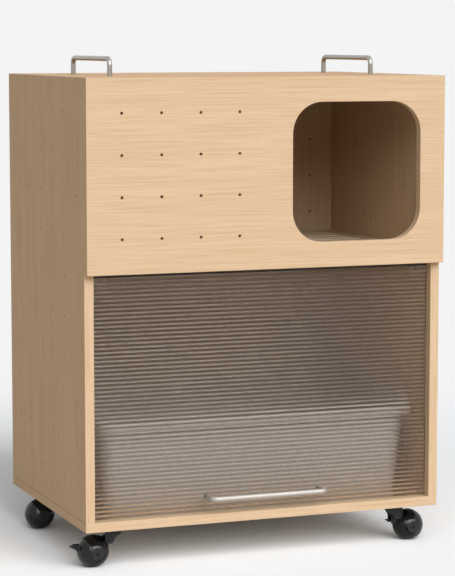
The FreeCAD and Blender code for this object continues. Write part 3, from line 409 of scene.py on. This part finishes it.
def hood_finish(name, finishes):
    """Gloss black moulding whose round hub discs and flat neck are matt.

    The hub is what lies within the disc's radius of the wheel's axle; the neck lies inside the hood.
    """
    material, tree, shader = new_finish(name, finishes.gloss_black, specular_ior_level=0.36)
    axle = (WHEEL_LOW + WHEEL_HIGH) / 2
    spot = parts(tree, "Object")
    side = worked(tree, "ABSOLUTE", spot["X"])
    joined = node(tree, "ShaderNodeCombineXYZ")
    apart = node(tree, "ShaderNodeVectorMath", {1: (axle.x, 0, axle.z)}, operation="DISTANCE")
    sockets(tree, (side, joined.inputs["X"]), (spot["Z"], joined.inputs["Z"]),
            (joined.outputs["Vector"], apart.inputs[0]))
    hub = ranged(tree, apart.outputs["Value"], *HUB_RADIUS, start=1, end=0)
    neck = ranged(tree, side, *HOOD_INSIDE, start=1, end=0)
    matt = worked(tree, "MAXIMUM", hub, neck)
    shown = mixed(tree, matt, finishes.gloss_black, finishes.hub_black)
    sockets(tree, (ranged(tree, matt, 0, 1, start=0.12, end=0.5), shader.inputs["Roughness"]),
            (shown, shader.inputs["Base Color"]))
    raised(tree, shader, noise(tree, (900, 900, 900)), 0.05, FINE_RELIEF)
    return material


def dress(material, *names):
    """Give CAD nodes one material."""
    for name in names:
        slots = NODES[name].data.materials
        slots.clear()
        slots.append(material)


def tube_faces(rings, around):
    """Quads of a grid of closed rings, with the first and the last ring filled."""
    ring, step = np.meshgrid(np.arange(rings - 1), np.arange(around), indexing="ij")
    here, there = ring * around + step, ring * around + (step + 1) % around
    quads = np.stack([here, there, there + around, here + around], axis=-1).reshape(-1, 4)
    first = np.arange(around)[::-1]
    last = (rings - 1) * around + np.arange(around)
    return quads.tolist() + [first.tolist(), last.tolist()]


def new_piece(name, points, material, body, node_name):
    """Put a surface of closed rings into the scene in place of a CAD node, on that node's body."""
    mesh = bpy.data.meshes.new(name)
    mesh.from_pydata(points.reshape(-1, 3), [], tube_faces(*points.shape[:2]))
    mesh.update()
    mesh.polygons.foreach_set("use_smooth", np.ones(len(mesh.polygons), bool))
    mesh.set_sharp_from_angle(angle=math.radians(SHARP_ANGLE))
    mesh.materials.append(material)
    piece = bpy.data.objects.new(name, mesh)
    bpy.context.scene.collection.objects.link(piece)
    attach(piece, body)
    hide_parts(node_name)


def ribbed_sheet(sizes):
    """Points of the clear sheet: rectangles in plan carried up the sheet, one for each height.

    The front edge of a rectangle stands forward by the height of a circular arc over each rib:
    the square root of the arc radius squared less the distance from the rib's middle squared, less
    the depth of the arc's centre behind the sheet, and by nothing between ribs.
    """
    height = FLAP_HIGH.z - FLAP_LOW.z
    margin = (height - (sizes.rib_count - 1) * sizes.rib_pitch) / 2
    half, tall = sizes.rib_width / 2, sizes.rib_height
    radius = (tall ** 2 + half ** 2) / (2 * tall)
    share = np.sin(np.linspace(-math.pi / 2, math.pi / 2, sizes.rib_steps + 1))
    offsets, centres = share * half, margin + np.arange(sizes.rib_count) * sizes.rib_pitch
    bulge = np.sqrt(radius ** 2 - offsets ** 2) - (radius - tall)
    levels = np.concatenate([[0], (centres[:, None] + offsets).ravel(), [height]])
    forward = np.concatenate([[0], np.tile(bulge, sizes.rib_count), [0]])
    front = FLAP_LOW.y + tall - forward
    points = np.empty((len(levels), 4, 3))
    points[:, :, 0] = np.array([FLAP_LOW.x, FLAP_HIGH.x, FLAP_HIGH.x, FLAP_LOW.x])
    points[:, :2, 1], points[:, 2:, 1] = front[:, None], FLAP_HIGH.y
    points[:, :, 2] = (FLAP_LOW.z + levels)[:, None]
    return points


def rounded_outline(corners, radii):
    """A polyline whose corners are turned into arcs.

    An arc of radius r at a corner of half angle a starts r over tan a from the corner, and its
    points blend the two tangent points and the corner as a rational quadratic with weight sin a.
    """
    corners, radii = np.asarray(corners, float), np.asarray(radii, float)
    before, after = corners[:-2] - corners[1:-1], corners[2:] - corners[1:-1]
    before /= np.linalg.norm(before, axis=1)[:, None]
    after /= np.linalg.norm(after, axis=1)[:, None]
    half = np.arccos(np.clip((before * after).sum(1), -1, 1)) / 2
    reach = (radii / np.tan(half))[:, None]
    start, end = corners[1:-1] + reach * before, corners[1:-1] + reach * after
    weight = np.sin(half)[:, None, None]
    t = np.linspace(0, 1, EDGE_STEPS)[None, :, None]
    a, b, c = (1 - t) ** 2, 2 * t * (1 - t) * weight, t ** 2
    arcs = (a * start[:, None] + b * corners[1:-1, None] + c * end[:, None]) / (a + b + c)
    return np.concatenate([corners[:1], arcs.reshape(-1, 2), corners[-1:]])


def tray_points(sizes):
    """Points of the tray: its section carried round a rectangle with round corners.

    A section point is an offset outwards from the foot and a height; the ring at that point is the
    foot's rectangle grown by the offset, its corner radius growing evenly from foot to rim.
    """
    foot_x = (TRAY_HIGH.x - TRAY_LOW.x) / 2 - sizes.taper
    foot_y = (TRAY_HIGH.y - TRAY_LOW.y) / 2 - sizes.taper
    tall, wall, lean = TRAY_HIGH.z - TRAY_LOW.z, sizes.wall, sizes.taper - sizes.rim
    under, skirt = tall - wall, tall - sizes.rim_drop
    inwards = sizes.foot_corner * FLOOR_INSET
    hem = sizes.edge / 4
    section = rounded_outline(
        [(-inwards, 0), (0, 0), (lean * under / tall, under), (sizes.taper - wall, under),
         (sizes.taper - wall, skirt), (sizes.taper, skirt), (sizes.taper, tall),
         (lean - wall, tall), (-wall, wall), (-inwards, wall)],
        [sizes.foot_edge, sizes.edge, sizes.edge, hem, hem, sizes.edge, sizes.edge, sizes.foot_edge])
    turn = np.linspace(0, math.pi / 2, CORNER_STEPS)
    angles = np.concatenate([turn + quarter * math.pi / 2 for quarter in range(4)])
    sign_x = np.repeat([1, -1, -1, 1], len(turn))
    sign_y = np.repeat([1, 1, -1, -1], len(turn))
    offset = section[:, :1]
    radius = sizes.foot_corner + (sizes.rim_corner - sizes.foot_corner) * offset / sizes.taper
    points = np.empty((len(section), len(angles), 3))
    points[:, :, 0] = sign_x * (foot_x + offset - radius) + radius * np.cos(angles)
    points[:, :, 1] = sign_y * (foot_y + offset - radius) + radius * np.sin(angles)
    points[:, :, 1] += (TRAY_LOW.y + TRAY_HIGH.y) / 2
    points[:, :, 2] = TRAY_LOW.z + section[:, 1:]
    return points


class VeneerBoards(bpy.types.Operator):
    """Veneer the carcass boards and the lid, with the grain along each board."""
    bl_idname = "cat_cabinet.veneer_boards"
    bl_label = "Veneered boards"

    def execute(self, context):
        finishes = context.scene.cat_cabinet_finishes
        ground, base = finishes.veneer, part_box("bottom_board")
        cuts = partial(cored, core=finishes.board_core)
        # Painted shade under the lid, which dims the entry's top.
        lid_shade = partial(backed, board=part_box("lid"), backing=finishes.lid_painted_shade_backing)
        foil = partial(backed, board=base, backing=finishes.backing_foil)
        seams = partial(seamed, board=base, seam=finishes.veneer_fleck)
        dress(veneer_finish("veneer_lying", "X", finishes, ground), "front_panel")
        dress(veneer_finish("veneer_shelf", "X", finishes, ground, [cuts]), "shelf")
        # The lid's veneer is warmer and brighter with painted light from above; its dark underside is
        # painted shade.
        dress(veneer_finish("veneer_lid", "X", finishes, finishes.warm_lit_lid_veneer, [lid_shade]), "lid")
        dress(veneer_finish("veneer_backed", "X", finishes, ground, [foil, seams]), "bottom_board")
        dress(veneer_finish("veneer_standing", "Z", finishes, ground),
              "side_panel_left", "side_panel_right", "back_panel")
        return {"FINISHED"}


class JoineryParts(bpy.types.Operator):
    """Finish the beech dowels and the lid's cleats."""
    bl_idname = "cat_cabinet.joinery"
    bl_label = "Dowels and cleats"

    def execute(self, context):
        finishes = context.scene.cat_cabinet_finishes
        dress(beech_finish("beech_cleat", "Y", finishes),
              "lid_cleat_left", "lid_cleat_right", "dowels_front")
        dress(beech_finish("beech_dowel_lying", "X", finishes), "dowels_shelf", "dowels_back")
        dress(beech_finish("beech_dowel_standing", "Z", finishes), "dowels_bottom")
        return {"FINISHED"}


class ClearFlap(bpy.types.Operator):
    """Build the ribbed clear sheet and finish the clear brackets and stops behind it."""
    bl_idname = "cat_cabinet.clear_flap"
    bl_label = "Clear flap"

    def execute(self, context):
        finishes = context.scene.cat_cabinet_finishes
        points = ribbed_sheet(context.scene.cat_cabinet_flap)
        clear = clear_finish("clear_plastic", finishes)
        new_piece("ribbed_sheet", points, clear, "flap", "door_sheet")
        fitting = fitting_finish("clear_fitting", finishes)
        dress(fitting, "door_stop_left", "door_stop_right", "door_pivot_left", "door_pivot_right")
        return {"FINISHED"}


class RodHandles(bpy.types.Operator):
    """Brush the bent rod handles along their bars."""
    bl_idname = "cat_cabinet.rod_handles"
    bl_label = "Rod handles"

    def execute(self, context):
        finishes = context.scene.cat_cabinet_finishes
        dress(brushed_finish("satin_rod_across", finishes.pull_steel, "X", rough=0.6), "door_handle")
        dress(brushed_finish("satin_rod_deep", finishes.satin_steel, "Y", rough=0.3),
              "top_handle_left", "top_handle_right")
        return {"FINISHED"}


class Fasteners(bpy.types.Operator):
    """Plate the screws and pins, and finish the nylon bushes and washers."""
    bl_idname = "cat_cabinet.fasteners"
    bl_label = "Fasteners"

    def execute(self, context):
        finishes = context.scene.cat_cabinet_finishes
        zinc = brushed_finish("zinc_plating", finishes.zinc_steel, "Z", rough=0.36)
        burnished = brushed_finish("burnished_steel", finishes.burnished_steel, "Y", rough=0.5)
        nylon = moulded_finish("natural_nylon", finishes.nylon, rough=0.45, grain_size=0.0006)
        dress(zinc, "door_handle_screws", "top_handle_screws", "caster_screws", "caster_kingpins")
        dress(burnished, "door_pivot_screws")
        dress(nylon, "pivot_bush_left", "pivot_bush_right", "swivel_washers")
        return {"FINISHED"}


class LitterTray(bpy.types.Operator):
    """Build the moulded litter tray with its rounded edges and turned-down rim."""
    bl_idname = "cat_cabinet.litter_tray"
    bl_label = "Litter tray"

    def execute(self, context):
        white = context.scene.cat_cabinet_finishes.tray_white
        points = tray_points(context.scene.cat_cabinet_tray)
        moulding = moulded_finish("tray_moulding", white, rough=0.3, grain_size=0.0012)
        new_piece("moulded_tray", points, moulding, "cabinet", "litter_tray")
        return {"FINISHED"}


class BallCasters(bpy.types.Operator):
    """Finish the hoods, wheels, pedals, plates and axles of the casters."""
    bl_idname = "cat_cabinet.ball_casters"
    bl_label = "Ball casters"

    def execute(self, context):
        finishes = context.scene.cat_cabinet_finishes
        hood = hood_finish("hood_moulding", finishes)
        pedal = moulded_finish(
            "pedal_moulding", finishes.gloss_black, rough=0.3, grain_size=0.0006, shine=0.2)
        wheel = moulded_finish(
            "wheel_moulding", finishes.wheel_black, rough=0.42, grain_size=0.0005, shine=0.2)
        plate = moulded_finish(
            "plate_paint", finishes.plate_black, rough=0.38, grain_size=0.0008, shine=0.2)
        for corner in CORNERS:
            dress(hood, f"caster_housing_{corner}")
            dress(pedal, f"brake_pedal_{corner}")
            dress(wheel, f"caster_wheel_{corner}")
            dress(plate, f"caster_plate_{corner}", f"caster_axle_{corner}")
        return {"FINISHED"}


def seen_directly(tree):
    """One for rays from the camera, also by way of gloss or a clear piece, but not of a matt one."""
    path = node(tree, "ShaderNodeLightPath")
    seen = path.outputs["Is Camera Ray"]
    for kind in ("Is Glossy Ray", "Is Transmission Ray"):
        seen = worked(tree, "MAXIMUM", seen, path.outputs[kind])
    straight = worked(tree, "LESS_THAN", path.outputs["Diffuse Depth"], 0.5)
    return worked(tree, "MULTIPLY", seen, straight)


def floor_finish(studio):
    """Pale floor that takes shadows near the cabinet and fades into the backdrop further out."""
    material = bpy.data.materials.new("studio_floor")
    material.use_nodes = True
    tree = material.node_tree
    tree.nodes.clear()
    output = node(tree, "ShaderNodeOutputMaterial")
    matt = node(tree, "ShaderNodeBsdfDiffuse")
    glow = node(tree, "ShaderNodeEmission", {"Color": (*studio.backdrop, 1)})
    coordinates = node(tree, "ShaderNodeTexCoord")
    far = node(tree, "ShaderNodeVectorMath", operation="LENGTH")
    blend = node(tree, "ShaderNodeMixShader")
    seen = seen_directly(tree)
    fade = worked(tree, "MULTIPLY", ranged(tree, far.outputs["Value"], *FLOOR_FADE), seen)
    sockets(tree, (coordinates.outputs["Object"], far.inputs[0]),
            (mixed(tree, seen, studio.floor, studio.shown_floor), matt.inputs["Color"]),
            (fade, blend.inputs["Fac"]), (matt.outputs["BSDF"], blend.inputs[1]),
            (glow.outputs["Emission"], blend.inputs[2]),
            (blend.outputs["Shader"], output.inputs["Surface"]))
    return material


class StudioStage(bpy.types.Operator):
    """Lay the floor, light the studio softly and set the camera."""
    bl_idname = "cat_cabinet.studio_stage"
    bl_label = "Studio stage"

    def execute(self, context):
        studio = context.scene.cat_cabinet_studio
        self.lay_floor(context, studio)
        self.light_room(context, studio)
        for name, turn in SOFT_TURNS.items():
            self.hang_light(context, name, getattr(studio, name), SOFT_SPREAD, SOFT_TILT, turn)
        self.hang_light(context, "top_light", studio.top_light, TOP_SPREAD, TOP_TILT, 0)
        self.set_camera(context, studio)
        context.scene.view_settings.view_transform = "Standard"
        return {"FINISHED"}

    def lay_floor(self, context, studio):
        """A flat square at the wheels' lowest level."""
        mesh = bpy.data.meshes.new("floor")
        corners = np.array([(-1, -1, 0), (1, -1, 0), (1, 1, 0), (-1, 1, 0)]) * FLOOR_REACH
        mesh.from_pydata(corners, [], [(0, 1, 2, 3)])
        mesh.materials.append(floor_finish(studio))
        floor = bpy.data.objects.new("floor", mesh)
        context.scene.collection.objects.link(floor)

    def light_room(self, context, studio):
        """Even light on matt surfaces, and the plain backdrop wherever it is seen."""
        world = bpy.data.worlds.new("studio")
        context.scene.world = world
        world.use_nodes = True
        tree = world.node_tree
        even = tree.nodes["Background"]
        even.inputs["Color"].default_value = (1, 1, 1, 1)
        even.inputs["Strength"].default_value = studio.room_light
        plain = node(tree, "ShaderNodeBackground", {"Color": (*studio.backdrop, 1), "Strength": 1.0})
        blend = node(tree, "ShaderNodeMixShader")
        sockets(tree, (seen_directly(tree), blend.inputs["Fac"]),
                (even.outputs["Background"], blend.inputs[1]),
                (plain.outputs["Background"], blend.inputs[2]),
                (blend.outputs["Shader"], tree.nodes["World Output"].inputs["Surface"]))

    def hang_light(self, context, name, level, spread, tilt, turn):
        """A distant soft light with its spread, tilt and turn in degrees."""
        lamp = bpy.data.lights.new(name, "SUN")
        lamp.energy = level
        lamp.angle = math.radians(spread)
        holder = bpy.data.objects.new(name, lamp)
        holder.rotation_euler = (math.radians(tilt), 0, math.radians(turn))
        context.scene.collection.objects.link(holder)

    def set_camera(self, context, studio):
        """The camera at its place, with its aim and its lens."""
        camera = bpy.data.objects.new("camera", bpy.data.cameras.new("camera"))
        camera.location = studio.eye
        camera.rotation_euler = studio.aim
        camera.data.lens = studio.lens
        context.scene.collection.objects.link(camera)
        context.scene.camera = camera


class CabinetPanel(bpy.types.Panel):
    """Sizes, colours and steps of the cat cabinet."""
    bl_idname = "VIEW3D_PT_cat_cabinet"
    bl_label = "Cat cabinet"
    bl_space_type = "VIEW_3D"
    bl_region_type = "UI"
    bl_category = "Cat cabinet"

    def draw(self, context):
        layout = self.layout
        for operator in OPERATORS:
            layout.operator(operator.bl_idname)
        for name, group in SETTINGS.items():
            box = layout.box()
            box.label(text=group.__doc__)
            for prop in group.__annotations__:
                box.prop(getattr(context.scene, name), prop)


SETTINGS = {
    "cat_cabinet_finishes": CabinetFinishes,
    "cat_cabinet_flap": FlapSizes,
    "cat_cabinet_tray": TraySizes,
    "cat_cabinet_studio": StudioSettings,
}
OPERATORS = (
    VeneerBoards, JoineryParts, ClearFlap, RodHandles, Fasteners, LitterTray, BallCasters,
    StudioStage,
)


def register():
    for item in (*SETTINGS.values(), *OPERATORS, CabinetPanel):
        bpy.utils.register_class(item)
    for name, group in SETTINGS.items():
        setattr(bpy.types.Scene, name, PointerProperty(type=group))


def unregister():
    for name in SETTINGS:
        delattr(bpy.types.Scene, name)
    for item in reversed((*SETTINGS.values(), *OPERATORS, CabinetPanel)):
        bpy.utils.unregister_class(item)


def main():
    """Run every step in order."""
    register()
    for operator in OPERATORS:
        family, name = operator.bl_idname.split(".")
        getattr(getattr(bpy.ops, family), name)()


if __name__ == "__main__":
    main()
